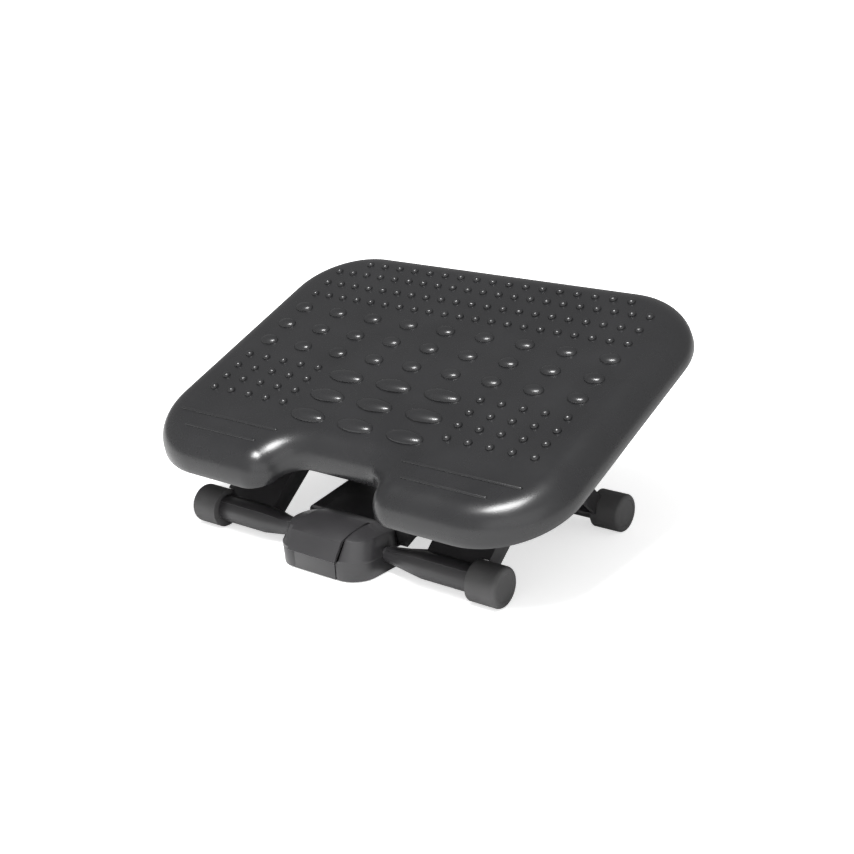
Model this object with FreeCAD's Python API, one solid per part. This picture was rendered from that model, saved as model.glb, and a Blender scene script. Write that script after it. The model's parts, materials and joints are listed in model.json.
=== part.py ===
import FreeCAD, Part
import math
import os

# Tilting under desk footrest. Millimetres and degrees.
# Built with X to the right, Y to the rear, Z up, the floor at Z = 0 and Y = 0 midway between the
# front and rear feet; the last step slides everything along Y so that the outline is centred.

# Linkage: two frames hinged on one axle, standing on four round rubber feet
foot_radius = 18.0
foot_inner_x = 143.0
foot_outer_x = 172.2
half_spread = 99.5
leg_length = 134.8
platform_tilt = 22.5

# Platform
platform_width = 450.0
platform_depth = 338.0
skirt_depth = 29.0
plan_corner_radius = 78.0
rim_radius = 26.0
rim_draft = 5.0
platform_wall = 3.0
axle_forward = 22.8
axle_below_deck = 40.2
notch_root_half = 30.0
notch_bend_radius = 27.0
notch_bend_turn = 75.0
rim_steps = 5
inner_rim_steps = 3
underside_rib_depth = 11.0
underside_rib_wall = 2.0

# Screws
screw_sides = 8

# Axle line
axle_radius = 6.0
running_gap = 0.05
bush_wall = 2.0
knuckle_radius = 13.0
knuckle_gap = 0.5
boss_inner_x = 66.5
boss_outer_x = 86.5
side_gap = 0.3
washer_thickness = 1.4
washer_radius = 11.0
nut_radius = 9.5
nut_length = 9.0
nut_bevel = 3.0
nut_crown = 2.5

# Frames
crossbar_radius = 12.0
journal_radius = 6.5
bar_taper_outer_x = 90.0
bar_taper_inner_x = 50.2
saddle_step = 0.8
eye_collar_radius = 9.0
eye_collar_width = 3.0
leg_inner_x = 88.5
leg_outer_x = 150.0
leg_skin = 3.0
leg_rib_wall = 3.0
leg_bays = 3
leg_front = 5.0
leg_rear_outline = ((16.0, 12.5), (62.0, 14.5))
leg_top_rear = 8.0
gusset_inner_x = 51.6
gusset_inner_reach = 5.6
gusset_outer_reach = 14.0
gusset_top = 2.5
gusset_bottom = 7.0
foot_stub_radius = 9.0
foot_stub_length = 20.0
foot_edge_bevel = 3.0
foot_room = 0.6
foot_flat_depth = 0.4

# Latch housing around the front crossbar
housing_half_width = 49.0
housing_top_half_width = 45.5
housing_bottom = 1.0
housing_front = 39.5
housing_top_front = 31.5
housing_rear = 19.0
housing_waist_height = 19.5
housing_rim_height = 36.2
housing_crown_height = 41.0
housing_rear_height = 36.5
housing_corner_radius = 22.0
housing_rear_corner_radius = 7.0
housing_wall = 2.6
housing_side_tuck = 0.8
housing_front_tuck = 1.2
crown_flat_half = 28.0
crown_side_fall = 15.0
floor_front_reach = 18.0
collar_wall = 2.4
collar_wall_inner_x = 40.0
cheek_inner_x = 28.5
cheek_wall = 3.0

# Pedal
pedal_top_half_width = 28.0
pedal_waist_half_width = 26.5
pedal_low_half_width = 23.0
pedal_proud = 5.0
pedal_low_proud = 0.4
pedal_step_drop = 3.0
pedal_raise = 1.4
pedal_wall = 3.0
pedal_gap = 0.5
pedal_rear_reach = 1.5
pedal_pin_forward = 28.5
pedal_pin_height = 30.0
pedal_nose_rear = 13.5
small_pin_radius = 2.5

# Lock: a lever that presses a shoe on the sliding arm, under a rising cover
cover_half_width = 56.4
cover_front_behind_axis = 19.5
cover_length = 82.0
cover_front_height = 34.6
cover_front_bottom = 19.0
cover_rise = 9.0
cover_side_rise = 23.0
cover_edge_depth = 4.0
cover_panel_half_width = 38.6
cover_panel_raise = 0.8
cover_wall = 2.5
cover_shoulder_radius = 5.0
lever_pin_behind_axis = 34.0
lever_pin_height = 30.0
lever_tail_reach = 21.0
lever_nose_reach = 20.0
lever_half_width = 12.0
lever_tail_height = 31.9
lever_hub_radius = 4.3
shoe_thickness = 2.5
shoe_gap = 0.3
spring_wire = 1.2
spring_coil_radius = 3.9
spring_turns = 3

# Sliding arm
arm_half_width = 36.0
arm_bottom = 17.0
arm_top = 25.0
arm_wall = 3.0
arm_eye_radius = 12.0
guide_gap = 0.3
guide_wall = 5.7
guide_lip = 2.2
guide_lip_width = 7.0
arm_front_behind_axis = 23.0

# Worked out from the values above
foot_axis_height = foot_radius - foot_flat_depth
leg_angle = math.degrees(math.acos(half_spread / leg_length))
axle_height = foot_axis_height + leg_length * math.sin(math.radians(leg_angle))
front_axis = FreeCAD.Vector(0, -half_spread, foot_axis_height)
rear_axis = FreeCAD.Vector(0, half_spread, foot_axis_height)
axle_point = FreeCAD.Vector(0, 0, axle_height)
X_AXIS = FreeCAD.Vector(1, 0, 0)
Y_AXIS = FreeCAD.Vector(0, 1, 0)
cover_front_y = -half_spread + cover_front_behind_axis
cover_rear_y = cover_front_y + cover_length
rail_top = arm_top + guide_gap
rail_outer_x = arm_half_width + guide_gap + guide_wall


def block(x0, x1, y0, y1, z0, z1):
    return Part.makeBox(x1 - x0, y1 - y0, z1 - z0, FreeCAD.Vector(x0, y0, z0))


def rod(x0, x1, y, z, radius):
    """A cylinder along X from x0 to x1."""
    return Part.makeCylinder(radius, x1 - x0, FreeCAD.Vector(x0, y, z), X_AXIS)


def tube(x0, x1, y, z, outer, inner):
    return rod(x0, x1, y, z, outer).cut(rod(x0 - 1, x1 + 1, y, z, inner))


def side_prism(points, x0, x1):
    """A prism along X whose side outline is a list of (y, z) corners."""
    corners = [FreeCAD.Vector(x0, y, z) for y, z in points]
    face = Part.Face(Part.makePolygon(corners + corners[:1]))
    return face.extrude(FreeCAD.Vector(x1 - x0, 0, 0))


def mirrored(shape):
    return shape.mirror(FreeCAD.Vector(0, 0, 0), X_AXIS)


def both_sides(shape):
    """The shape and its mirror image in the middle plane, as two solids."""
    return [shape, mirrored(shape)]


def joined(shapes):
    first = shapes[0]
    if len(shapes) == 1:
        return first
    return first.multiFuse(shapes[1:]).removeSplitter()


def group(shapes):
    """Separate solids in one node."""
    return Part.makeCompound(shapes)


def edges_where(shape, test):
    return [edge for edge in shape.Edges if test(edge)]


def screw(x, y, z, length, head_radius, shank_radius, head_height):
    """A flat-headed screw pointing up, its head's seat at height z and its tip tapered."""
    outline = [(head_radius, -head_height), (head_radius, 0), (shank_radius, 0),
               (shank_radius, length - shank_radius), (shank_radius * 0.5, length)]
    solid = faceted([(radius, radius, height) for radius, height in outline], screw_sides)
    return solid.translated(FreeCAD.Vector(x, y, z))


# Platform, drawn level with its top at Z = 0 and its centre at the origin

def platform_outline(inset, height):
    """The plan outline at a height: rounded rectangle with an S-sided notch in its front edge."""
    half_w = platform_width / 2 - inset
    half_d = platform_depth / 2 - inset
    corner = plan_corner_radius - inset
    turn = math.radians(notch_bend_turn)
    sweep = notch_bend_radius
    outer_bend = sweep - inset
    inner_bend = sweep + inset
    root_y = -half_d + 2 * sweep * (1 - math.cos(turn))
    mouth_x = notch_root_half + 2 * sweep * math.sin(turn)
    root_centre_y = root_y - inner_bend
    mouth_centre_y = -half_d + outer_bend

    def at(x, y):
        return FreeCAD.Vector(x, y, height)

    def inner(angle):
        return at(notch_root_half + inner_bend * math.sin(angle),
                  root_centre_y + inner_bend * math.cos(angle))

    def outer(angle):
        return at(mouth_x - outer_bend * math.sin(angle), mouth_centre_y - outer_bend * math.cos(angle))

    diagonal = math.sqrt(0.5)
    low = [
        Part.LineSegment(at(-notch_root_half, root_y), at(notch_root_half, root_y)),
        Part.Arc(inner(0), inner(turn / 2), inner(turn)),
        Part.Arc(outer(turn), outer(turn / 2), outer(0)),
        Part.LineSegment(outer(0), at(half_w - corner, -half_d)),
    ]
    side = [
        Part.Arc(at(half_w - corner, -half_d),
                 at(half_w - corner + corner * diagonal, -half_d + corner - corner * diagonal),
                 at(half_w, -half_d + corner)),
        Part.LineSegment(at(half_w, -half_d + corner), at(half_w, half_d - corner)),
        Part.Arc(at(half_w, half_d - corner),
                 at(half_w - corner + corner * diagonal, half_d - corner + corner * diagonal),
                 at(half_w - corner, half_d)),
        Part.LineSegment(at(half_w - corner, half_d), at(-half_w + corner, half_d)),
    ]
    right = [curve.toShape() for curve in low[1:] + side[:3]]
    left = [mirrored(edge) for edge in right]
    edges = [low[0].toShape()] + right + [side[3].toShape()] + left
    return Part.Wire(Part.sortEdges(edges)[0])


def platform_body(inset, top, bottom, rim, steps):
    """A drafted solid on the outline, its top edge rolled over in steps round the rim radius."""
    draft = math.radians(rim_draft)
    centre_z = top - rim
    centre_in = inset + (centre_z - bottom) * math.tan(draft) + rim / math.cos(draft)
    sections = [platform_outline(inset, bottom)]
    for i in range(steps + 1):
        angle = draft + (math.pi / 2 - draft) * i / steps
        sections.append(platform_outline(centre_in - rim * math.cos(angle), centre_z + rim * math.sin(angle)))
    return Part.makeLoft(sections, True, True)


def faceted(rings, sides):
    """A closed solid with flat sides through rings given as (half x, half y, z)."""
    loops = []
    for half_x, half_y, z in rings:
        turns = [2 * math.pi * (i + 0.5) / sides for i in range(sides)]
        loops.append([FreeCAD.Vector(half_x * math.cos(a), half_y * math.sin(a), z) for a in turns])
    faces = [Part.Face(Part.makePolygon(loop + loop[:1])) for loop in (loops[0], loops[-1])]
    for low, high in zip(loops[:-1], loops[1:]):
        for i in range(sides):
            j = (i + 1) % sides
            faces.append(Part.Face(Part.makePolygon([low[i], low[j], high[j], high[i], low[i]])))
    solid = Part.makeSolid(Part.makeShell(faces))
    if solid.Volume < 0:
        solid.reverse()
    return solid


def bump(half_x, half_y, height, sides, tiers):
    """A dome on the deck made of tapering rings of flat facets, its foot sunk in the skin."""
    steps = [(1.0, -bump_root), (1.0, 0.0)] + [(scale, part * height) for scale, part in tiers]
    return faceted([(half_x * scale, half_y * scale, z) for scale, z in steps], sides)


def spread(count, pitch):
    return [(i - (count - 1) / 2) * pitch for i in range(count)]


# Deck pattern
small_bump = (4.0, 4.0, 3.4, 6, ((0.55, 1.0),))
medium_bump = (10.0, 7.0, 4.0, 10, ((0.84, 0.6), (0.4, 1.0)))
large_bump = (19.5, 8.5, 4.6, 10, ((0.84, 0.6), (0.4, 1.0)))
rear_row = (17, 19.0, 138.6)
fine_rows = (21, 18.0, (120.7, 99.9, 79.1))
medium_rows = (9, 43.9, (54.6, 26.0, -2.6))
large_rows = (3, 54.7, (-32.4, -62.0, -91.7))
side_columns = (92.5, 22.0, 5)
side_rows = (-27.9, -45.8, -63.6, -81.5)
bump_root = 0.8
ridge_radius = 1.7
ridge_sink = 0.3
ridges = ((72.0, 189.0, -118.0), (83.0, 167.0, -136.5))


def deck_bumps():
    small = [(x, rear_row[2]) for x in spread(rear_row[0], rear_row[1])]
    for y in fine_rows[2]:
        small += [(x, y) for x in spread(fine_rows[0], fine_rows[1])]
    first, pitch, count = side_columns
    for y in side_rows:
        for i in range(count):
            small += [(side * (first + i * pitch), y) for side in (-1, 1)]
    medium = [(x, y) for y in medium_rows[2] for x in spread(medium_rows[0], medium_rows[1])]
    large = [(x, y) for y in large_rows[2] for x in spread(large_rows[0], large_rows[1])]
    caps = []
    for places, size in ((small, small_bump), (medium, medium_bump), (large, large_bump)):
        cap = bump(*size)
        caps += [cap.translated(FreeCAD.Vector(x, y, 0)) for x, y in places]
    return caps


def deck_ridges():
    bars = []
    for x0, x1, y in ridges:
        bar = rod(x0, x1, y, -ridge_sink, ridge_radius)
        ends = [Part.makeSphere(ridge_radius, FreeCAD.Vector(x, y, -ridge_sink)) for x in (x0, x1)]
        bars += both_sides(joined([bar] + ends))
    return bars


def pivot_boss():
    """The right-hand bearing block under the deck, with its gussets, down to the axle line."""
    y = -axle_forward
    z = -axle_below_deck
    top = -platform_wall + 0.5
    points = [(y - 46, top), (y - 17, z + 6), (y - 17, z), (y + 17, z), (y + 17, z + 6), (y + 46, top)]
    solid = side_prism(points, boss_inner_x, boss_outer_x)
    window_depth = (boss_outer_x - boss_inner_x - platform_wall) / 2
    pocket = side_prism([(y - 36, top - 4), (y - 21, z + 12), (y - 11, z + 12), (y - 11, top - 4)],
                        boss_inner_x - 1, boss_inner_x + window_depth)
    pocket_rear = pocket.mirror(FreeCAD.Vector(0, y, 0), Y_AXIS)
    far = [p.mirror(FreeCAD.Vector((boss_inner_x + boss_outer_x) / 2, 0, 0), X_AXIS)
           for p in (pocket, pocket_rear)]
    bore = rod(boss_inner_x - 1, boss_outer_x + 1, y, z, axle_radius + running_gap)
    return solid.cut([pocket, pocket_rear, bore] + far)


clamp_screw_offset = 12.0
clamp_screw_radius = 2.0
clamp_cap_drop = 11.0


def clamp_screw_places():
    x = (boss_inner_x + boss_outer_x) / 2
    return [(x, -axle_forward + side * clamp_screw_offset) for side in (-1, 1)]


def platform():
    outer = platform_body(0.0, 0.0, -skirt_depth, rim_radius, rim_steps)
    inner = platform_body(platform_wall, -platform_wall, -skirt_depth, rim_radius - platform_wall,
                          inner_rim_steps)
    half_w = platform_width / 2
    half_d = platform_depth / 2
    rib_low = -platform_wall - underside_rib_depth
    half_rib = underside_rib_wall / 2
    ribs = []
    for x in (boss_inner_x + half_rib, boss_outer_x - half_rib, 140.0, 185.0):
        ribs += both_sides(block(x - half_rib, x + half_rib, -half_d, half_d, rib_low, 0))
    for x in (-20.0, 20.0):
        ribs.append(block(x - half_rib, x + half_rib, -half_d, half_d, rib_low, 0))
    for y in (-100.0, -axle_forward - 30, -axle_forward + 30, 62.0, 112.0):
        ribs.append(block(-half_w, half_w, y - half_rib, y + half_rib, rib_low, 0))
    ribs = [rib.common(inner) for rib in ribs]
    shell = outer.cut(inner)
    bosses = both_sides(pivot_boss())
    solid = joined([shell] + ribs + bosses)
    holes = []
    for x, y in clamp_screw_places():
        holes += both_sides(Part.makeCylinder(clamp_screw_radius + running_gap, 14.0,
                                              FreeCAD.Vector(x, y, -axle_below_deck - 1)))
    solid = solid.cut(holes)
    return joined([solid] + deck_bumps() + deck_ridges())


def pivot_cap():
    """The right-hand clamp under the axle."""
    y = -axle_forward
    z = -axle_below_deck
    points = [(y - 17, z), (y - 17, z - 5), (y - 8, z - clamp_cap_drop), (y + 8, z - clamp_cap_drop),
              (y + 17, z - 5), (y + 17, z)]
    solid = side_prism(points, boss_inner_x, boss_outer_x)
    bore = rod(boss_inner_x - 1, boss_outer_x + 1, y, z, axle_radius + running_gap)
    holes = [Part.makeCylinder(clamp_screw_radius + running_gap, 30, FreeCAD.Vector(x, sy, z - 20))
             for x, sy in clamp_screw_places()]
    seats = [Part.makeCylinder(4.2, 12, FreeCAD.Vector(x, sy, z - 5 - 12)) for x, sy in clamp_screw_places()]
    return solid.cut([bore] + holes + seats)


def clamp_screws():
    z = -axle_below_deck - 5
    screws = []
    for x, y in clamp_screw_places():
        screws += both_sides(screw(x, y, z, 16.0, 3.8, clamp_screw_radius, 2.6))
    return screws


def set_platform(shape):
    """From the level drawing to its place on the axle, tilted with the rear up."""
    moved = shape.translated(FreeCAD.Vector(0, axle_forward, axle_below_deck))
    moved = moved.rotated(FreeCAD.Vector(0, 0, 0), X_AXIS, platform_tilt)
    return moved.translated(axle_point)


# Frames, drawn level with the axle at the origin and the foot at Y = -leg_length

knuckle_count = 4
knuckle_pitch = (leg_outer_x - leg_inner_x + knuckle_gap) / knuckle_count


def knuckle_span(index):
    start = leg_inner_x + index * knuckle_pitch
    return start, start + knuckle_pitch - knuckle_gap


def leg(own):
    """The right-hand leg: a ribbed channel from the crossbar to the knuckles named in own."""
    bar_y = -leg_length
    rear = [(bar_y + reach, -depth) for reach, depth in leg_rear_outline]
    outline = [(bar_y, leg_front), (0, leg_front), (0, -leg_top_rear)] + rear[::-1]
    outline.append((bar_y, 1.0 - crossbar_radius))
    plate = side_prism(outline, leg_inner_x, leg_outer_x)
    pocket_low = bar_y + crossbar_radius + leg_skin
    pocket_high = -knuckle_radius - 8
    hollow = [(pocket_low, leg_front - leg_skin), (pocket_high, leg_front - leg_skin),
              (pocket_high, -leg_length), (pocket_low, -leg_length)]
    bay = (leg_outer_x - leg_inner_x - leg_rib_wall) / leg_bays
    pockets = []
    for i in range(leg_bays):
        x0 = leg_inner_x + leg_rib_wall + i * bay
        pockets.append(side_prism(hollow, x0, x0 + bay - leg_rib_wall))
    foot_clear = rod(foot_inner_x, leg_outer_x + 1, bar_y, 0, foot_radius + foot_room)
    plate = plate.cut(pockets + [foot_clear])
    mid = bar_y / 2
    half_rib = leg_rib_wall / 2
    brace = side_prism([(mid - half_rib, leg_front - 1), (mid + half_rib, leg_front - 1),
                        (mid + half_rib, -leg_top_rear), (mid - half_rib, -leg_top_rear)],
                       leg_inner_x + 1, leg_outer_x - 1)
    parts = [plate, brace]
    sleeve_radius = axle_radius + bush_wall + 2 * running_gap
    clear = [rod(leg_inner_x - 1, leg_outer_x + 1, 0, 0, sleeve_radius)]
    for i in range(knuckle_count):
        x0, x1 = knuckle_span(i)
        if i in own:
            parts.append(rod(x0, x1, 0, 0, knuckle_radius))
        else:
            clear.append(rod(x0 - knuckle_gap, x1 + knuckle_gap, 0, 0, knuckle_radius + 1.5))
    return joined(parts).cut(clear)


def tapered_bar(grow):
    """The right half of the bar outside the journal, thickened by grow."""
    y = -leg_length
    length = bar_taper_outer_x - bar_taper_inner_x
    taper = Part.makeCone(journal_radius + grow, crossbar_radius + grow, length,
                          FreeCAD.Vector(bar_taper_inner_x, y, 0), X_AXIS)
    return taper.fuse(rod(bar_taper_outer_x, foot_inner_x, y, 0, crossbar_radius + grow))


def saddle():
    """The leg's root: a thin wrap over the bar and a gusset that runs in towards the middle."""
    y = -leg_length
    upper = block(gusset_inner_x, foot_inner_x, y, y + foot_radius, -gusset_bottom, foot_radius)
    corners = [(gusset_inner_x, y), (leg_inner_x + 1, y), (leg_inner_x + 1, y + gusset_outer_reach),
               (leg_inner_x, y + gusset_outer_reach), (gusset_inner_x, y + gusset_inner_reach)]
    points = [FreeCAD.Vector(px, py, -gusset_bottom) for px, py in corners]
    gusset = Part.Face(Part.makePolygon(points + points[:1]))
    return [tapered_bar(saddle_step).common(upper),
            gusset.extrude(FreeCAD.Vector(0, 0, gusset_bottom + gusset_top))]


def frame(own, collar_x):
    """A crossbar with its two legs; collars hold a bearing on the journal where collar_x is given."""
    y = -leg_length
    right = [leg(own), tapered_bar(0.0)] + saddle()
    right.append(rod(foot_inner_x - 1, foot_inner_x + foot_stub_length, y, 0, foot_stub_radius))
    if collar_x:
        right.append(rod(collar_x, collar_x + eye_collar_width, y, 0, eye_collar_radius))
    journal = rod(-bar_taper_inner_x, bar_taper_inner_x, y, 0, journal_radius)
    return joined([journal] + right + [mirrored(shape) for shape in right])


def foot():
    """The right-hand rubber foot: a round cup on the crossbar's stub."""
    y = -leg_length
    solid = rod(foot_inner_x, foot_outer_x, y, 0, foot_radius)
    rim = edges_where(solid, lambda e: e.BoundBox.XMin > foot_outer_x - 0.01)
    solid = solid.makeChamfer(foot_edge_bevel, rim)
    socket = rod(foot_inner_x - 1, foot_inner_x + foot_stub_length + 0.5, y, 0, foot_stub_radius + running_gap)
    return solid.cut(socket)


def bushes(own):
    """Plain bearing sleeves in the right-hand knuckles."""
    rings = []
    for i in own:
        x0, x1 = knuckle_span(i)
        rings.append(tube(x0, x1, 0, 0, axle_radius + running_gap + bush_wall, axle_radius + running_gap))
    return rings


def set_front(shape):
    return shape.rotated(FreeCAD.Vector(0, 0, 0), X_AXIS, leg_angle).translated(axle_point)


def set_rear(shape):
    flipped = shape.mirror(FreeCAD.Vector(0, 0, 0), Y_AXIS)
    return flipped.rotated(FreeCAD.Vector(0, 0, 0), X_AXIS, -leg_angle).translated(axle_point)


def flatten_foot(shape, axis):
    """A small moulded flat where the foot meets the floor."""
    floor = block(-foot_outer_x - 5, foot_outer_x + 5, axis.y - 40, axis.y + 40, -10, 0)
    return shape.cut(floor)


# Axle

def axle():
    half = leg_outer_x + side_gap + washer_thickness + side_gap + nut_length - 3
    return rod(-half, half, 0, axle_height, axle_radius)


def axle_washers():
    """A thin washer each side of each row of knuckles."""
    rings = []
    for x0 in (boss_outer_x + side_gap, leg_outer_x + side_gap):
        ring = tube(x0, x0 + washer_thickness, 0, axle_height, washer_radius, axle_radius + running_gap)
        rings += both_sides(ring)
    return rings


def axle_nut():
    """The right-hand cap nut on the axle's end."""
    x0 = leg_outer_x + 2 * side_gap + washer_thickness
    solid = rod(x0, x0 + nut_length, 0, axle_height, nut_radius)
    rim = edges_where(solid, lambda e: e.BoundBox.XMin > x0 + nut_length - 0.01)
    solid = solid.makeChamfer(nut_bevel, rim)
    return solid.cut(rod(x0 - 1, x0 + nut_length - nut_crown, 0, axle_height, axle_radius + running_gap))


# Latch housing, in place around the front crossbar

def housing_outline(half_width, front, rear, height):
    """Plan outline with large front corners and small rear ones; front and rear are from the axis."""
    y0 = -half_spread - front
    y1 = -half_spread + rear
    big = housing_corner_radius
    small = housing_rear_corner_radius
    d = math.sqrt(0.5)

    def at(x, y):
        return FreeCAD.Vector(x, y, height)

    curves = [
        Part.Arc(at(half_width - big, y0), at(half_width - big + big * d, y0 + big - big * d),
                 at(half_width, y0 + big)),
        Part.LineSegment(at(half_width, y0 + big), at(half_width, y1 - small)),
        Part.Arc(at(half_width, y1 - small), at(half_width - small + small * d, y1 - small + small * d),
                 at(half_width - small, y1)),
    ]
    right = [curve.toShape() for curve in curves]
    left = [mirrored(edge) for edge in right]
    front_edge = Part.LineSegment(at(-half_width + big, y0), at(half_width - big, y0)).toShape()
    rear_edge = Part.LineSegment(at(half_width - small, y1), at(-half_width + small, y1)).toShape()
    return Part.Wire(Part.sortEdges([front_edge] + right + [rear_edge] + left)[0])


def housing_form(inset, proud):
    """The housing's outer form; inset shrinks it on every side, proud moves only the front out."""
    slope_top = 46.0
    grow = (slope_top - housing_waist_height) / (housing_rim_height - housing_waist_height)
    top_half = housing_half_width - (housing_half_width - housing_top_half_width) * grow - inset
    top_front = housing_front - (housing_front - housing_top_front) * grow - inset + proud
    waist_front = housing_front - inset + proud
    rear = housing_rear - inset
    low_front = housing_front - inset
    if proud:
        low_front += pedal_low_proud
    low_half = housing_half_width - housing_side_tuck - inset
    sections = [housing_outline(low_half, low_front - housing_front_tuck, rear, housing_bottom + inset)]
    if proud:
        step_z = housing_waist_height - pedal_step_drop
        sections.append(housing_outline(housing_half_width - inset, low_front, rear, step_z))
    sections.append(housing_outline(housing_half_width - inset, waist_front, rear, housing_waist_height))
    sections.append(housing_outline(top_half, top_front, rear, slope_top))
    return Part.makeLoft(sections, True, True)


def crown_tool(drop):
    """Everything above the top, which is crowned from front to rear and falls away at the sides."""
    y0 = -half_spread - housing_top_front
    y1 = -half_spread + housing_rear
    side_width = 50.0

    def at(y, z):
        return FreeCAD.Vector(crown_flat_half, y, z - drop)

    start = at(y0 - 6, housing_rim_height - 2.2)
    top = at((y0 + y1) / 2, housing_crown_height)
    end = at(y1 + 6, housing_rear_height - 2.2)
    lift = FreeCAD.Vector(0, 0, 40)
    lines = [Part.makeLine(end, end + lift), Part.makeLine(end + lift, start + lift),
             Part.makeLine(start + lift, start)]
    face = Part.Face(Part.Wire([Part.Arc(start, top, end).toShape()] + lines))
    middle = face.extrude(FreeCAD.Vector(-2 * crown_flat_half, 0, 0))
    fall = side_width * math.tan(math.radians(crown_side_fall))
    side = face.extrude(FreeCAD.Vector(side_width, 0, -fall))
    return joined([middle] + both_sides(side))


def pedal_mask(grow, z0, z1):
    """Front view of the pedal: narrow below the waist, a step out at it, widening above it."""
    low = pedal_low_half_width + grow
    waist = pedal_waist_half_width + grow
    high = pedal_top_half_width + grow
    step_z = housing_waist_height - pedal_step_drop
    right = [(low, z0), (low, step_z), (waist, housing_waist_height), (high, housing_rim_height), (high, z1)]
    outline = right + [(-x, z) for x, z in right[::-1]]
    corners = [FreeCAD.Vector(x, -half_spread - 60, z) for x, z in outline]
    face = Part.Face(Part.makePolygon(corners + corners[:1]))
    return face.extrude(FreeCAD.Vector(0, 120, 0))


pedal_back_y = -half_spread + pedal_rear_reach


def housing_shell():
    outer = housing_form(0.0, 0.0).cut(crown_tool(0.0))
    inner = housing_form(housing_wall, 0.0).cut(crown_tool(housing_wall))
    shell = outer.cut(inner)
    y = -half_spread
    cheeks = []
    for x0, x1 in ((cheek_inner_x, cheek_inner_x + cheek_wall), (collar_wall_inner_x, housing_half_width)):
        cheek = block(x0, x1, y - housing_front, y + housing_rear, 0, 50).common(outer)
        if x0 == collar_wall_inner_x:
            cheek = cheek.common(rod(x0 - 1, x1 + 1, y, foot_axis_height, crossbar_radius + 3.5))
        cheeks += both_sides(cheek)
    collars = both_sides(tube(lever_half_width + 2, housing_half_width - 1, y, foot_axis_height,
                              journal_radius + running_gap + collar_wall, journal_radius).common(outer))
    solid = joined([shell] + collars + cheeks)
    bore = rod(-80, 80, y, foot_axis_height, journal_radius + running_gap)
    pins = [rod(-cheek_inner_x - cheek_wall + 1, cheek_inner_x + cheek_wall - 1, y - pedal_pin_forward,
                pedal_pin_height, small_pin_radius + running_gap)]
    opening = pedal_mask(pedal_gap, -5, 60)
    opening = opening.common(block(-40, 40, y - 60, pedal_back_y + 1.6, -5, 60))
    keep_floor = block(-40, 40, y - floor_front_reach, y + 30, -5, foot_axis_height)
    opening = opening.cut(keep_floor)
    return solid.cut([bore, opening] + pins)


def split_housing():
    """The housing in two shells, parted at the crossbar's axis."""
    shell = housing_shell()
    upper = shell.common(block(-90, 90, -200, 60, foot_axis_height, 80))
    lower = shell.common(block(-90, 90, -200, 60, -20, foot_axis_height))
    return lower, upper


housing_screw_x = 35.5
housing_screw_forward = 22.0
housing_boss_radius = 4.2
housing_screw_radius = 1.6


def housing_screw_places():
    y = -half_spread
    return [(housing_screw_x, y - housing_screw_forward), (housing_screw_x, y + 14.0)]


def rails():
    """The guide that the arm slides in: two walls with a lip under each edge of the arm."""
    inner = arm_half_width + guide_gap
    y0 = cover_front_y - 4.0
    wall = block(inner, inner + guide_wall, y0, cover_rear_y, arm_bottom - guide_gap - guide_lip, rail_top)
    lip = block(inner - guide_lip_width, inner + 1, y0, cover_rear_y,
                arm_bottom - guide_gap - guide_lip, arm_bottom - guide_gap)
    return both_sides(wall.fuse(lip))


rail_screw_x = arm_half_width + guide_gap + guide_wall / 2


def rail_screw_places():
    return [(rail_screw_x, cover_front_y + 14), (rail_screw_x, cover_rear_y - 12)]


def housing_base():
    lower, upper = split_housing()
    bosses = []
    outer = housing_form(0.0, 0.0)
    for x, y in housing_screw_places():
        bosses += both_sides(Part.makeCylinder(housing_boss_radius, foot_axis_height - housing_bottom,
                                               FreeCAD.Vector(x, y, housing_bottom)))
    bosses = [boss.common(outer) for boss in bosses]
    bore = rod(-80, 80, -half_spread, foot_axis_height, journal_radius + running_gap)
    holes = []
    for x, y in housing_screw_places():
        holes += both_sides(Part.makeCylinder(housing_screw_radius + running_gap, 60, FreeCAD.Vector(x, y, -5)))
        holes += both_sides(Part.makeCylinder(3.3, 6.0, FreeCAD.Vector(x, y, housing_bottom - 3)))
    for x, y in rail_screw_places():
        holes += both_sides(Part.makeCylinder(housing_screw_radius + running_gap, 60, FreeCAD.Vector(x, y, -5)))
    slot = block(-arm_half_width - guide_gap, arm_half_width + guide_gap, cover_front_y - 3.5, 0,
                 arm_bottom - guide_gap, 40)
    return joined([lower] + bosses + rails()).cut([bore, slot] + holes)


def housing_cover():
    lower, upper = split_housing()
    bosses = []
    outer = housing_form(0.0, 0.0).cut(crown_tool(0.0))
    for x, y in housing_screw_places():
        base = FreeCAD.Vector(x, y, foot_axis_height)
        bosses += both_sides(Part.makeCylinder(housing_boss_radius, 30, base))
    bosses = [boss.common(outer) for boss in bosses]
    bore = rod(-80, 80, -half_spread, foot_axis_height, journal_radius + running_gap)
    holes = []
    for x, y in housing_screw_places():
        holes += both_sides(Part.makeCylinder(housing_screw_radius + running_gap, 12,
                                              FreeCAD.Vector(x, y, foot_axis_height - 1)))
    y_back = cover_front_y - 5.5
    rail_room = block(-rail_outer_x - 0.3, rail_outer_x + 0.3, y_back, 0, 0, rail_top + 0.3)
    tail_room = block(-lever_half_width - 1, lever_half_width + 1, y_back, 0, rail_top - 1, 36)
    rear_gap = block(-90, 90, cover_front_y, 20, 0, 80)
    return joined([upper] + bosses).cut([bore, rail_room, tail_room, rear_gap] + holes)


def housing_screws():
    screws = []
    for x, y in housing_screw_places():
        screws += both_sides(screw(x, y, housing_bottom + 3.0, 24.0, 3.0, housing_screw_radius, 2.0))
    return screws


# Pedal

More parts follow.
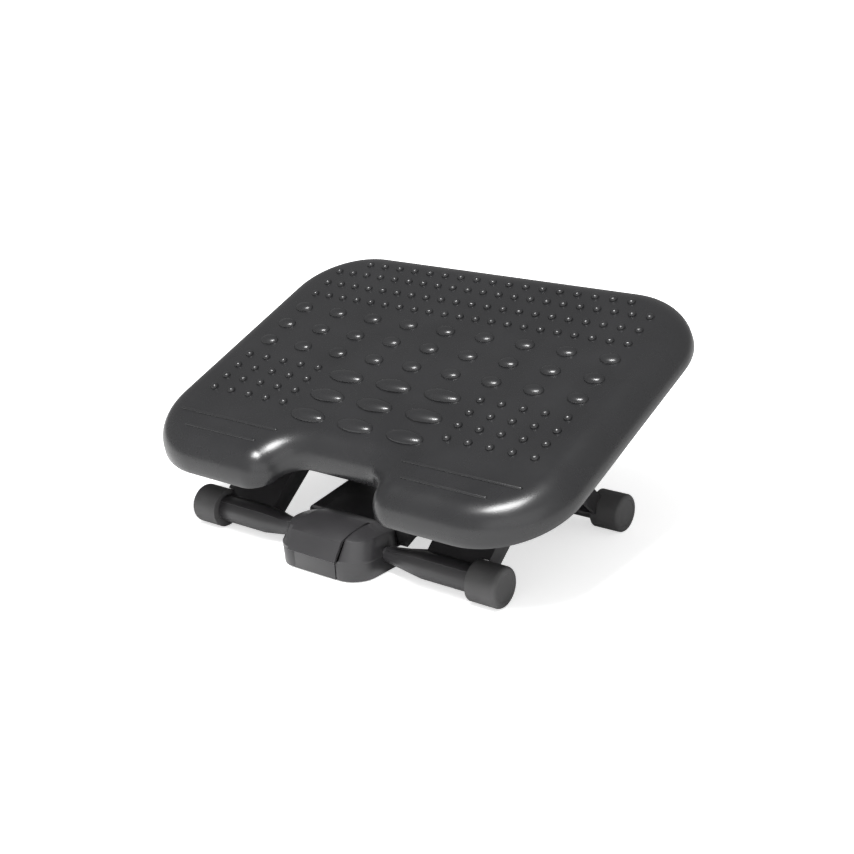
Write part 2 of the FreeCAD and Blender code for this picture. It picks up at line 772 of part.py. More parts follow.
def pedal():
    """A bent plate: front face, rising top, side flanges and a nose that reaches over the bar."""
    y = -half_spread
    outer = housing_form(0.0, pedal_proud).cut(crown_tool(-pedal_raise))
    inner = housing_form(pedal_wall, pedal_proud).cut(crown_tool(pedal_wall - pedal_raise))
    lower_cut = block(-80, 80, y - 80, y + 60, -10, housing_bottom - 0.4)
    skin = outer.cut(inner).common(pedal_mask(0.0, -5, 60))
    skin = skin.common(block(-80, 80, y - 60, pedal_back_y, housing_bottom - 0.4, 60))
    front_only = block(-80, 80, y - floor_front_reach - 6, y + 60, -10, housing_crown_height - 12)
    skin = skin.cut([front_only, lower_cut])
    flange_points = [(y - housing_front + 2, housing_waist_height - 6),
                     (y - housing_top_front, housing_rim_height),
                     (pedal_back_y - 2, housing_crown_height - 1), (pedal_back_y - 2, 35.0),
                     (y - floor_front_reach + 1, 33.0), (y - pedal_pin_forward + 6, pedal_pin_height - 6),
                     (y - pedal_pin_forward - 4, pedal_pin_height - 7)]
    x1 = pedal_low_half_width
    flange = side_prism(flange_points, x1 - 3.0, x1)
    hub = rod(x1 - 3.0, x1, y - pedal_pin_forward, pedal_pin_height, 5.5)
    flange = flange.fuse(hub).common(outer)
    nose_z = lever_tail_height + guide_gap
    nose_points = [(pedal_back_y - 6, 40.0), (pedal_back_y - 6, 36.0), (pedal_back_y, 35.0),
                   (y + pedal_nose_rear - 4, nose_z), (y + pedal_nose_rear, nose_z),
                   (y + pedal_nose_rear, nose_z + 2.4)]
    nose = side_prism(nose_points, -lever_half_width, lever_half_width)
    solid = joined([skin, nose] + both_sides(flange))
    pin = rod(-60, 60, y - pedal_pin_forward, pedal_pin_height, small_pin_radius + running_gap)
    return solid.cut(pin)


def pedal_pin():
    half = cheek_inner_x + cheek_wall - 1.2
    return rod(-half, half, -half_spread - pedal_pin_forward, pedal_pin_height, small_pin_radius)


# Lock cover, lever, shoe and spring

def cover_top_z(y):
    return cover_front_height + (y - cover_front_y) * math.tan(math.radians(cover_rise))


def cover_side_z(y):
    return cover_front_bottom + (y - cover_front_y) * math.tan(math.radians(cover_side_rise))


def cover_wedge(inset, bottom_extra):
    """The cover's form: a rising wedge whose sides climb faster than its top until only an edge is left."""
    y0 = cover_front_y + inset
    y1 = cover_rear_y - inset
    half = cover_half_width - inset
    climb = math.tan(math.radians(cover_side_rise)) - math.tan(math.radians(cover_rise))
    turn_y = cover_front_y + (cover_front_height - cover_edge_depth - cover_front_bottom) / climb
    points = [(y0, cover_side_z(y0) - bottom_extra), (y0, cover_top_z(y0) - inset),
              (y1, cover_top_z(y1) - inset), (y1, cover_top_z(y1) - cover_edge_depth - bottom_extra),
              (turn_y, cover_side_z(turn_y) - bottom_extra)]
    solid = side_prism(points, -half, half)
    radius = max(cover_shoulder_radius - inset, 1.0)

    def shoulder(edge):
        box = edge.BoundBox
        return abs(abs(box.XMin) - half) < 0.01 and box.XLength < 0.01 and box.YLength > 20 \
            and box.ZMax > cover_top_z(y1) - inset - 0.01
    return solid.makeFillet(radius, edges_where(solid, shoulder))


def cover_panel(inset):
    """The low raised panel along the middle of the cover's top."""
    y0 = cover_front_y + inset
    y1 = cover_rear_y - inset
    half = cover_panel_half_width - inset
    lift = cover_panel_raise - inset
    return side_prism([(y0, cover_top_z(y0) - 4), (y0, cover_top_z(y0) + lift),
                       (y1, cover_top_z(y1) + lift), (y1, cover_top_z(y1) - 4)], -half, half)


def lock_cover():
    """The rising cover behind the housing, with ribs that stand on the rails."""
    outer = cover_wedge(0.0, 0.0).fuse(cover_panel(0.0))
    inner = cover_wedge(cover_wall, 20.0).fuse(cover_panel(cover_wall))
    inner = inner.fuse(block(-30, 30, cover_rear_y - 5, cover_rear_y + 5, 0, rail_top + 9))
    shell = outer.cut(inner)
    x0 = arm_half_width - 2.0
    x1 = rail_outer_x
    y0 = cover_front_y + 0.5
    y1 = cover_rear_y - 0.5
    rib = side_prism([(y0, rail_top), (y0, cover_top_z(y0) - 1), (y1, cover_top_z(y1) - 1), (y1, rail_top)],
                     x0, x1)
    ribs = both_sides(rib)
    pin_y = -half_spread + lever_pin_behind_axis
    ear_x0 = lever_half_width + 12
    ear = side_prism([(pin_y - 6, lever_pin_height - 5), (pin_y + 6, lever_pin_height - 5),
                      (pin_y + 9, cover_top_z(pin_y + 9) - 1), (pin_y - 9, cover_top_z(pin_y - 9) - 1)],
                     ear_x0, ear_x0 + 3)
    solid = joined([shell] + ribs + both_sides(ear))
    pin = rod(-ear_x0 - 2, ear_x0 + 2, pin_y, lever_pin_height, small_pin_radius + running_gap)
    tail = block(-lever_half_width - 1, lever_half_width + 1, cover_front_y - 1, cover_front_y + 6,
                 rail_top - 1, cover_front_height - 2)
    rail_room = block(-rail_outer_x, rail_outer_x, cover_front_y - 1, cover_rear_y + 1, 0, rail_top)
    holes = []
    for x, y in rail_screw_places():
        holes += both_sides(Part.makeCylinder(housing_screw_radius + running_gap, 10,
                                              FreeCAD.Vector(x, y, rail_top - 1)))
    return solid.cut([pin, tail, rail_room] + holes)


def rail_screws():
    screws = []
    z = arm_bottom - guide_gap - guide_lip
    for x, y in rail_screw_places():
        screws += both_sides(screw(x, y, z, 18.0, 3.0, housing_screw_radius, 1.8))
    return screws


def lock_lever():
    """Bell-crank lever on its pin: tail forward under the pedal's nose, foot rearward over the arm."""
    y = -half_spread + lever_pin_behind_axis
    z = lever_pin_height
    foot_z = arm_top + shoe_gap + shoe_thickness
    tail_z = lever_tail_height
    points = [(y - lever_tail_reach, tail_z - 2.6), (y - 3, z - 2.5), (y + 4, z - 2.2),
              (y + lever_nose_reach - 6.5, foot_z), (y + lever_nose_reach + 4.5, foot_z),
              (y + lever_nose_reach + 4.5, foot_z + 3), (y + lever_nose_reach - 4, foot_z + 4),
              (y + 4, z + 3), (y - 3, z + 3), (y - lever_tail_reach, tail_z)]
    solid = side_prism(points, -lever_half_width, lever_half_width)
    hub = rod(-lever_half_width, lever_half_width, y, z, lever_hub_radius)
    pin = rod(-60, 60, y, z, small_pin_radius + running_gap)
    return joined([solid, hub]).cut(pin)


def lock_shoe():
    """The friction pad bonded under the lever's foot."""
    y = -half_spread + lever_pin_behind_axis + lever_nose_reach
    z = arm_top + shoe_gap
    return block(-lever_half_width + 0.5, lever_half_width - 0.5, y - 6.5, y + 4.5, z, z + shoe_thickness)


def lever_pin():
    half = lever_half_width + 12 + 1.8
    return rod(-half, half, -half_spread + lever_pin_behind_axis, lever_pin_height, small_pin_radius)


def lock_spring():
    """A torsion spring of square wire coiled round the lever's pin, beside its hub."""
    pitch = spring_wire + 0.5
    height = pitch * spring_turns
    helix = Part.makeHelix(pitch, height, spring_coil_radius)
    half = spring_wire / 2
    corners = [FreeCAD.Vector(spring_coil_radius + r, 0, h)
               for r, h in ((-half, -half), (half, -half), (half, half), (-half, half))]
    coil = Part.Wire(helix).makePipeShell([Part.makePolygon(corners + corners[:1])], True, True)
    coil = coil.rotated(FreeCAD.Vector(0, 0, 0), Y_AXIS, 90)
    x0 = lever_half_width + spring_wire
    return coil.translated(FreeCAD.Vector(x0, -half_spread + lever_pin_behind_axis, lever_pin_height))


# Sliding arm and its rear eye

def arm_solid():
    y0 = -half_spread + arm_front_behind_axis
    plate = block(-arm_half_width, arm_half_width, y0, half_spread, arm_bottom, arm_top)
    eye = rod(-arm_half_width, arm_half_width, half_spread, foot_axis_height, arm_eye_radius)
    bays_y = [y0 + arm_wall, y0 + 45.0, y0 + 90.0, y0 + 135.0, half_spread - arm_eye_radius - 3]
    pockets = []
    for a, b in zip(bays_y[:-1], bays_y[1:]):
        for x0, x1 in ((-arm_half_width + arm_wall, -arm_wall / 2), (arm_wall / 2, arm_half_width - arm_wall)):
            pockets.append(block(x0, x1, a, b - arm_wall, arm_bottom - 1, arm_top - arm_wall))
    bore = rod(-60, 60, half_spread, foot_axis_height, journal_radius + running_gap)
    return plate.cut(pockets), eye, bore


eye_ear_thickness = 5.0
eye_screw_reach = arm_eye_radius + 3.9
eye_ear_reach = eye_screw_reach + 3.5
eye_hole_radius = 1.65


def eye_screw_places():
    return [(x, half_spread + side * eye_screw_reach) for side in (-1, 1) for x in (-9, 9)]


def eye_holes():
    """Screw holes right through the ears."""
    return [Part.makeCylinder(eye_hole_radius, 24, FreeCAD.Vector(x, y, foot_axis_height - 10))
            for x, y in eye_screw_places()]


def eye_ears(z0, z1, side):
    ear = block(-14, 14, 0, eye_ear_reach, z0, z1)
    if side < 0:
        ear = ear.mirror(FreeCAD.Vector(0, 0, 0), Y_AXIS)
    return ear.translated(FreeCAD.Vector(0, half_spread, 0))


def arm():
    plate, eye, bore = arm_solid()
    upper = eye.common(block(-90, 90, 0, 200, foot_axis_height, 80))
    ears = eye_ears(foot_axis_height, foot_axis_height + eye_ear_thickness, 1)
    trim = block(-90, 90, half_spread - arm_eye_radius - 8, half_spread + 60, 0, foot_axis_height)
    solid = joined([plate.cut(trim), upper, ears])
    return solid.cut([bore] + eye_holes())


def arm_eye_cap():
    plate, eye, bore = arm_solid()
    lower = eye.common(block(-90, 90, 0, 200, -10, foot_axis_height))
    ears = [eye_ears(foot_axis_height - eye_ear_thickness, foot_axis_height, side) for side in (-1, 1)]
    return joined([lower] + ears).cut([bore] + eye_holes())


def eye_screws():
    z = foot_axis_height - eye_ear_thickness
    return [screw(x, y, z, 9.0, 3.0, 1.6, 1.8) for x, y in eye_screw_places()]


def build():
    front_own = (0, 2)
    rear_own = (1, 3)
    eye_collar_x = arm_half_width + 0.7
    pieces = {}
    pieces["platform"] = set_platform(platform())
    cap = set_platform(pivot_cap())
    pieces["pivot_cap_right"] = cap
    pieces["pivot_cap_left"] = mirrored(cap)
    pieces["pivot_cap_screws"] = group([set_platform(s) for s in clamp_screws()])
    pieces["axle"] = axle()
    pieces["axle_washers"] = group(axle_washers())
    pieces["axle_nuts"] = group(both_sides(axle_nut()))
    pieces["front_frame"] = set_front(frame(front_own, None))
    pieces["rear_frame"] = set_rear(frame(rear_own, eye_collar_x))
    front_foot = flatten_foot(set_front(foot()), front_axis)
    rear_foot = flatten_foot(set_rear(foot()), rear_axis)
    pieces["front_foot_right"] = front_foot
    pieces["front_foot_left"] = mirrored(front_foot)
    pieces["rear_foot_right"] = rear_foot
    pieces["rear_foot_left"] = mirrored(rear_foot)
    front_bushes = [set_front(b) for b in bushes(front_own)]
    rear_bushes = [set_rear(b) for b in bushes(rear_own)]
    pieces["front_frame_bushes"] = group(front_bushes + [mirrored(b) for b in front_bushes])
    pieces["rear_frame_bushes"] = group(rear_bushes + [mirrored(b) for b in rear_bushes])
    pieces["housing_base"] = housing_base()
    pieces["housing_cover"] = housing_cover()
    pieces["housing_screws"] = group(housing_screws())
    pieces["pedal"] = pedal()
    pieces["pedal_pin"] = pedal_pin()
    pieces["lock_cover"] = lock_cover()
    pieces["lock_cover_screws"] = group(rail_screws())
    pieces["lock_lever"] = lock_lever()
    pieces["lock_shoe"] = lock_shoe()
    pieces["lever_pin"] = lever_pin()
    pieces["lock_spring"] = lock_spring()
    pieces["arm"] = arm()
    pieces["arm_eye_cap"] = arm_eye_cap()
    pieces["arm_eye_screws"] = group(eye_screws())
    return pieces


def main():
    os.makedirs("parts", exist_ok=True)
    pieces = build()
    box = pieces["platform"].optimalBoundingBox()
    shift = FreeCAD.Vector(0, -(box.YMin + box.YMax) / 2, 0)
    print("shift along Y", round(shift.y, 4), "leg angle", round(leg_angle, 4),
          "axle height", round(axle_height, 4))
    for name, shape in pieces.items():
        placed = shape.translated(shift)
        placed.exportStep("parts/" + name + ".step")
        print(name, len(placed.Solids), placed.isValid(), round(placed.Volume / 1000, 2))


main()
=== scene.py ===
import json
import math

import bmesh
import bpy
from mathutils import Matrix, Vector


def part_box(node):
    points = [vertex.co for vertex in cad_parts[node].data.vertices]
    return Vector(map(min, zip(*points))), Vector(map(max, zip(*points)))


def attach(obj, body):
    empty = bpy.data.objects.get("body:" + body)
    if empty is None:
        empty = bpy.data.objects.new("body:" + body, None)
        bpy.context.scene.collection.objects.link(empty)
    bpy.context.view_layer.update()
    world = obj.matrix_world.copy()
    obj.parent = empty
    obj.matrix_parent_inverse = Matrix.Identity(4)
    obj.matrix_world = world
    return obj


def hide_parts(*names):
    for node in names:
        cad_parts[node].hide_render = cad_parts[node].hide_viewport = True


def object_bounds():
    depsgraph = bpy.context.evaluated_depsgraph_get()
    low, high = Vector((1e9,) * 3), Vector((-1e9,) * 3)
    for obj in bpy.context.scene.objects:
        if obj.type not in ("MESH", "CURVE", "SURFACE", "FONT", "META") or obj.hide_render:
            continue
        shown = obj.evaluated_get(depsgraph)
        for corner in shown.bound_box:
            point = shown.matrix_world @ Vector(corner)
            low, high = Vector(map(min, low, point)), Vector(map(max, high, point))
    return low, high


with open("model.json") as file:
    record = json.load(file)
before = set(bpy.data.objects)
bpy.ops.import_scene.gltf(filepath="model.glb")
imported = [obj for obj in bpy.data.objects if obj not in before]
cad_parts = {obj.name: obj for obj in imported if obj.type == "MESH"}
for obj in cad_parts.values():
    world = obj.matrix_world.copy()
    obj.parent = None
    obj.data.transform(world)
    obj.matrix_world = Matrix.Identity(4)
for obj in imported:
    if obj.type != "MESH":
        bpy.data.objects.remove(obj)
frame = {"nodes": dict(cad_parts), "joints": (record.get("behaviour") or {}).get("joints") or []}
cad_low, cad_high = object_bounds()
joints = {joint["name"]: joint for joint in frame["joints"]}

MM = 0.001

# Platform, in millimetres, drawn level with its top at Z = 0 and its centre at the origin
platform_width = 450.0
platform_depth = 338.0
skirt_depth = 29.0
plan_corner_radius = 78.0
rim_radius = 26.0
rim_draft = math.radians(5.0)
platform_wall = 3.0
platform_tilt = math.radians(22.5)
axle_forward = 22.8
axle_below_deck = 40.2
notch_root_half = 30.0
notch_bend_radius = 27.0
notch_bend_turn = math.radians(75.0)
lip_round = 0.8
rib_depth = 11.0
rib_wall = 2.0
rib_top = -1.0
skin_overlap = 0.5
boss_inner = 66.5
boss_outer = 86.5
axle_bore = 6.05
length_ribs_x = (140.0, 185.0, 20.0)
axle_rib_offset = 30.0
cross_ribs_y = (-100.0, -axle_forward - axle_rib_offset, -axle_forward + axle_rib_offset, 62.0, 112.0)

# Bearing block, in millimetres from the axle's centre: half lengths, shoulder, pockets and screw holes
block_root_half = 46.0
block_seat_half = 17.0
block_shoulder = 6.0
pocket_root_reach = 36.0
pocket_seat_reach = 21.0
pocket_inner_reach = 11.0
pocket_rise = 12.0
pocket_roof = 4.0
screw_hole_offset = 12.0
screw_hole_radius = 2.05
screw_hole_depth = 13.0

# Feet, in millimetres
foot_radius = 18.0
foot_inner = 143.0
foot_outer = 172.2
foot_round = 3.6
foot_rim_bevel = 0.4
foot_dish_radius = 12.6
foot_dish_floor_radius = 12.0
foot_dish_depth = 0.5
stub_radius = 9.05
stub_length = 20.5

# Deck pattern: half length, half width and height of each size of bump
small_bump = (4.0, 4.0, 3.4)
medium_bump = (10.0, 7.0, 4.0)
large_bump = (19.5, 8.5, 4.6)
bump_fullness = 0.85
bump_top_share = 0.985

# Rows of bumps: how many, their pitch across and the place of each row; columns: first place, pitch, how many
rear_row = (17, 19.0, 138.6)
fine_rows = (21, 18.0, (120.7, 99.9, 79.1))
medium_rows = (9, 43.9, (54.6, 26.0, -2.6))
large_rows = (3, 54.7, (-32.4, -62.0, -91.7))
side_columns = (92.5, 22.0, 5)
side_rows = (-27.9, -45.8, -63.6, -81.5)

# Ridges in the front corners: inner end, outer end and place along the deck
ridge_radius = 1.7
ridge_sink = 0.2
ridges = ((72.0, 189.0, -118.0), (83.0, 167.0, -136.5))

# Where smooth shading breaks, in degrees
crisp_edge = 35.0
crisp_soft_edge = 30.0

# The middle stretch of a noise's grey values, which is spread over a colour or number range
noise_low = 0.3
noise_high = 0.7


# Materials

class Shader:
    """A node material whose main shader is principled, with a helper for each kind of node."""

    def __init__(self, name, **sockets):
        self.material = bpy.data.materials.new(name)
        self.material.use_nodes = True
        self.tree = self.material.node_tree
        self.main = self.tree.nodes["Principled BSDF"]
        for key, value in sockets.items():
            self.main.inputs[key.replace("_", " ")].default_value = value
        place = self.tree.nodes.new("ShaderNodeTexCoord")
        self.place = place.outputs["Object"]

    def link(self, source, target):
        self.tree.links.new(source, target)

    def noise(self, scale, detail=2.0, rough=0.5):
        node = self.tree.nodes.new("ShaderNodeTexNoise")
        node.inputs["Scale"].default_value = scale
        node.inputs["Detail"].default_value = detail
        node.inputs["Roughness"].default_value = rough
        self.link(self.place, node.inputs["Vector"])
        return node.outputs["Fac"]

    def ramp(self, source, low, high):
        """Maps a grey value onto a range of numbers."""
        node = self.tree.nodes.new("ShaderNodeMapRange")
        node.inputs["From Min"].default_value = noise_low
        node.inputs["From Max"].default_value = noise_high
        node.inputs["To Min"].default_value = low
        node.inputs["To Max"].default_value = high
        self.link(source, node.inputs["Value"])
        return node.outputs["Result"]

    def tint(self, source, low, high):
        """Colours the surface between two shades by a grey value."""
        node = self.tree.nodes.new("ShaderNodeValToRGB")
        node.color_ramp.elements[0].position = noise_low
        node.color_ramp.elements[0].color = (*low, 1)
        node.color_ramp.elements[1].position = noise_high
        node.color_ramp.elements[1].color = (*high, 1)
        self.link(source, node.inputs["Fac"])
        self.link(node.outputs["Color"], self.main.inputs["Base Color"])

    def bump(self, height, strength, distance):
        node = self.tree.nodes.new("ShaderNodeBump")
        node.inputs["Strength"].default_value = strength
        node.inputs["Distance"].default_value = distance
        self.link(height, node.inputs["Height"])
        return node.outputs["Normal"]

    def finish(self, shade, sheen, grain):
        """Gives the surface its shade, its roughness and its fine bump, each from a noise of its own.

        shade is (scale, detail, dark, light), sheen is (scale, detail, lowest, highest roughness) and
        grain is (scale, detail, roughness of the noise, strength, depth in metres).
        """
        scale, detail, dark, light = shade
        self.tint(self.noise(scale, detail), dark, light)
        scale, detail, low, high = sheen
        self.link(self.ramp(self.noise(scale, detail), low, high), self.main.inputs["Roughness"])
        scale, detail, rough, strength, depth = grain
        self.link(self.bump(self.noise(scale, detail, rough), strength, depth), self.main.inputs["Normal"])
        return self.material


def moulded_plastic(name, dark, light, rough):
    """Satin charcoal plastic: fine spark-eroded grain, slow waves in sheen and a little shade change."""
    return Shader(name, IOR=1.5).finish(
        shade=(14.0, 4.0, dark, light),
        sheen=(35.0, 3.0, rough - 0.04, rough + 0.05),
        grain=(900.0, 2.0, 0.6, 0.35, 0.00006))


def foot_rubber():
    """Matt dark grey rubber with a dusty grain."""
    return Shader("rubber", IOR=1.45).finish(
        shade=(60.0, 4.0, (0.050, 0.0493, 0.050), (0.060, 0.0592, 0.060)),
        sheen=(120.0, 3.0, 0.62, 0.74),
        grain=(1500.0, 3.0, 0.7, 0.5, 0.00008))


def plated_steel():
    """Bright zinc-plated steel."""
    return Shader("plated_steel", Metallic=1.0).finish(
        shade=(200.0, 3.0, (0.42, 0.42, 0.41), (0.58, 0.57, 0.55)),
        sheen=(350.0, 3.0, 0.24, 0.38),
        grain=(2500.0, 2.0, 0.5, 0.3, 0.00003))


def pale_nylon():
    """Off-white bearing plastic."""
    return Shader("pale_nylon", IOR=1.53).finish(
        shade=(80.0, 3.0, (0.50, 0.49, 0.45), (0.60, 0.59, 0.55)),
        sheen=(150.0, 3.0, 0.38, 0.50),
        grain=(1800.0, 2.0, 0.5, 0.3, 0.00004))


def friction_pad():
    """Coarse brown lining of the locking shoe."""
    return Shader("friction_pad", IOR=1.45).finish(
        shade=(700.0, 3.0, (0.09, 0.055, 0.035), (0.16, 0.10, 0.06)),
        sheen=(500.0, 3.0, 0.75, 0.9),
        grain=(1200.0, 4.0, 0.7, 0.6, 0.0001))


deck_finish = moulded_plastic("deck_plastic", (0.011, 0.011, 0.0118), (0.0145, 0.0145, 0.0155), 0.27)
frame_finish = moulded_plastic("frame_plastic", (0.022, 0.0215, 0.0228), (0.028, 0.0272, 0.0288), 0.33)
rubber_finish = foot_rubber()
steel_finish = plated_steel()
nylon_finish = pale_nylon()
pad_finish = friction_pad()


# Shared mesh work

def new_piece(name, mesh, finish):
    """An object with one material, its place in its mesh."""
    piece = bpy.data.objects.new(name, mesh)
    bpy.context.scene.collection.objects.link(piece)
    piece.data.materials.clear()
    piece.data.materials.append(finish)
    return piece


def smooth_by_angle(mesh, degrees):
    """Shades smooth, keeping edges sharper than the angle crisp."""
    mesh.shade_smooth()
    work = bmesh.new()
    work.from_mesh(mesh)
    limit = math.radians(degrees)
    for edge in work.edges:
        edge.smooth = len(edge.link_faces) == 2 and edge.calc_face_angle(math.pi) < limit
    work.to_mesh(mesh)
    work.free()


def bake_modifiers(piece):
    """Replaces the mesh by what its modifiers make of it."""
    graph = bpy.context.evaluated_depsgraph_get()
    graph.update()
    mesh = bpy.data.meshes.new_from_object(piece.evaluated_get(graph))
    piece.modifiers.clear()
    piece.data = mesh


# The platform

def level_to_place():
    """From the level drawing in millimetres to the tilted place on the axle, in metres."""
    axle = Vector(joints["platform_tilt"]["pos_m"])
    seat = Matrix.Translation((0.0, axle_forward, axle_below_deck))
    turn = Matrix.Rotation(platform_tilt, 4, "X")
    return Matrix.Translation((0.0, axle.y, axle.z)) @ Matrix.Scale(MM, 4) @ turn @ seat


def outline(inset, bend_steps=12, corner_steps=18):
    """Plan outline as points: rounded rectangle with an S-sided notch in its front edge."""
    half_w = platform_width / 2 - inset
    half_d = platform_depth / 2 - inset
    corner = plan_corner_radius - inset
    outer_bend = notch_bend_radius - inset
    inner_bend = notch_bend_radius + inset
    mouth_x = notch_root_half + 2 * notch_bend_radius * math.sin(notch_bend_turn)
    root_y = -half_d + 2 * notch_bend_radius * (1 - math.cos(notch_bend_turn))
    right = []
    for i in range(bend_steps + 1):
        angle = notch_bend_turn * i / bend_steps
        right.append((notch_root_half + inner_bend * math.sin(angle),
                      root_y - inner_bend + inner_bend * math.cos(angle)))
    for i in range(1, bend_steps + 1):
        angle = notch_bend_turn * (1 - i / bend_steps)
        right.append((mouth_x - outer_bend * math.sin(angle),
                      -half_d + outer_bend - outer_bend * math.cos(angle)))
    for side in (-1, 1):
        for i in range(corner_steps + 1):
            angle = math.pi / 2 * (i / corner_steps + (side - 1) / 2)
            right.append((half_w - corner + corner * math.cos(angle),
                          side * (half_d - corner) + corner * math.sin(angle)))
    left = [(-x, y) for x, y in reversed(right)]
    return right + left


def rim_profile(inset, top, bottom, radius, steps):
    """Side profile as (inset, z) pairs from the flat top over the rolled rim to the bottom."""
    top_inset = inset + (top - bottom) * math.tan(rim_draft)
    reach = radius * math.tan((math.pi / 2 - rim_draft) / 2)
    turn = math.pi / 2 - rim_draft
    pairs = []
    for i in range(steps + 1):
        angle = turn * i / steps
        pairs.append((top_inset + reach - radius * math.sin(angle), top - radius + radius * math.cos(angle)))
    return pairs


def platform_shell():
    """The deck's skin: the outer face rolled over the rim, a rounded lip and the inner face."""
    outer = rim_profile(0.0, 0.0, -skirt_depth, rim_radius, 14)
    inner = rim_profile(platform_wall, -platform_wall, -skirt_depth, rim_radius - platform_wall, 10)
    lip = [(lip_round * (1 - math.cos(angle)), -skirt_depth + lip_round * (1 - math.sin(angle)))
           for angle in (0.0, math.pi / 4, math.pi / 2)]
    lip_inner = [(platform_wall - inset, z) for inset, z in reversed(lip)]
    rings = outer + lip + lip_inner + list(reversed(inner))
    work = bmesh.new()
    loops = []
    for inset, z in rings:
        loops.append([work.verts.new((x, y, z)) for x, y in outline(inset)])
    for low, high in zip(loops[:-1], loops[1:]):
        count = len(low)
        for i in range(count):
            j = (i + 1) % count
            work.faces.new((low[i], high[i], high[j], low[j]))
    top = work.faces.new(loops[0])
    under = work.faces.new(list(reversed(loops[-1])))
    top.normal_update()
    under.normal_update()
    bmesh.ops.triangulate(work, faces=[top, under])
    bmesh.ops.recalc_face_normals(work, faces=work.faces)
    mesh = bpy.data.meshes.new("platform_shell")
    work.to_mesh(mesh)
    work.free()
    return mesh


def dome(work, x, y, half_x, half_y, height, around=32, up=9):
    """One smooth bump: a steep-sided cap with a crisp foot, sunk a little in the skin."""
    rings = [(1.0, -1.0)]
    for i in range(up + 1):
        angle = math.pi / 2 * i / up
        rings.append((math.cos(angle * bump_top_share) ** bump_fullness, height * math.sin(angle)))
    loops = []
    for scale, z in rings:
        loop = []
        for i in range(around):
            angle = 2 * math.pi * i / around
            loop.append(work.verts.new((x + half_x * scale * math.cos(angle),
                                        y + half_y * scale * math.sin(angle), z)))
        loops.append(loop)
    for low, high in zip(loops[:-1], loops[1:]):
        for i in range(around):
            j = (i + 1) % around
            work.faces.new((low[i], low[j], high[j], high[i]))
    work.faces.new(list(reversed(loops[0])))
    work.faces.new(loops[-1])


def spread(count, pitch):
    """Places of a centred row."""
    return [(i - (count - 1) / 2) * pitch for i in range(count)]


def bump_places():
    """The places of the small, medium and large bumps, each with its size."""
    small = [(x, rear_row[2]) for x in spread(rear_row[0], rear_row[1])]
    for y in fine_rows[2]:
        small += [(x, y) for x in spread(fine_rows[0], fine_rows[1])]
    first, pitch, count = side_columns
    for y in side_rows:
        for i in range(count):
            small += [(side * (first + i * pitch), y) for side in (-1, 1)]
    medium = [(x, y) for y in medium_rows[2] for x in spread(medium_rows[0], medium_rows[1])]
    large = [(x, y) for y in large_rows[2] for x in spread(large_rows[0], large_rows[1])]
    return ((small, small_bump), (medium, medium_bump), (large, large_bump))


def ridge(work, x0, x1, y, around=16):
    """A low round-topped bar with ball ends, half sunk in the deck."""
    loops = []
    steps = 4
    stations = [(x0 - ridge_radius * math.cos(math.pi / 2 * i / steps), math.sin(math.pi / 2 * i / steps))
                for i in range(1, steps + 1)]
    stations += [(x0 + x1 - x, scale) for x, scale in reversed(stations)]
    for x, scale in stations:
        loop = []
        for i in range(around):
            angle = 2 * math.pi * i / around
            loop.append(work.verts.new((x, y + ridge_radius * scale * math.cos(angle),
                                        -ridge_sink + ridge_radius * scale * math.sin(angle))))
        loops.append(loop)
    for low, high in zip(loops[:-1], loops[1:]):
        for i in range(around):
            j = (i + 1) % around
            work.faces.new((low[i], high[i], high[j], low[j]))
    work.faces.new(loops[0])
    work.faces.new(list(reversed(loops[-1])))


def deck_relief():
    """All bumps and ridges as one mesh of separate closed bodies."""
    work = bmesh.new()
    for places, size in bump_places():
        for x, y in places:
            dome(work, x, y, *size)
    for x0, x1, y in ridges:
        ridge(work, x0, x1, y)
        ridge(work, -x1, -x0, y)
    bmesh.ops.recalc_face_normals(work, faces=work.faces)
    mesh = bpy.data.meshes.new("deck_relief")
    work.to_mesh(mesh)
    work.free()
    return mesh


def closed_form(name, inset, top, bottom, radius):
    """A closed body on the plan outline with a rolled upper edge."""
    rings = rim_profile(inset, top, bottom, radius, 10) + [(inset, bottom)]
    work = bmesh.new()
    loops = [[work.verts.new((x, y, z)) for x, y in outline(ring_inset)] for ring_inset, z in rings]
    for low, high in zip(loops[:-1], loops[1:]):
        for i in range(len(low)):
            j = (i + 1) % len(low)
            work.faces.new((low[i], high[i], high[j], low[j]))
    caps = [work.faces.new(loops[0]), work.faces.new(list(reversed(loops[-1])))]
    for cap in caps:
        cap.normal_update()
    bmesh.ops.triangulate(work, faces=caps)
    bmesh.ops.recalc_face_normals(work, faces=work.faces)
    mesh = bpy.data.meshes.new(name)
    work.to_mesh(mesh)
    work.free()
    return new_piece(name, mesh, deck_finish)


def side_prism(name, points, x0, x1):
    """A prism along X whose side outline is a list of (y, z) corners."""
    work = bmesh.new()
    ends = [[work.verts.new((x, y, z)) for y, z in points] for x in (x0, x1)]
    for i in range(len(points)):
        j = (i + 1) % len(points)
        work.faces.new((ends[0][i], ends[0][j], ends[1][j], ends[1][i]))
    work.faces.new(list(reversed(ends[0])))
    work.faces.new(ends[1])
    bmesh.ops.recalc_face_normals(work, faces=work.faces)
    mesh = bpy.data.meshes.new(name)
    work.to_mesh(mesh)
    work.free()
    return new_piece(name, mesh, deck_finish)


def round_bar(name, start, end, radius, around=48):
    """A straight cylinder between two points."""
    start = Vector(start)
    end = Vector(end)
    work = bmesh.new()
    bmesh.ops.create_cone(work, cap_ends=True, segments=around, radius1=radius, radius2=radius,
                          depth=(end - start).length)
    turn = (end - start).to_track_quat("Z", "Y").to_matrix().to_4x4()
    work.transform(Matrix.Translation((start + end) / 2) @ turn)
    mesh = bpy.data.meshes.new(name)
    work.to_mesh(mesh)
    work.free()
    return new_piece(name, mesh, deck_finish)


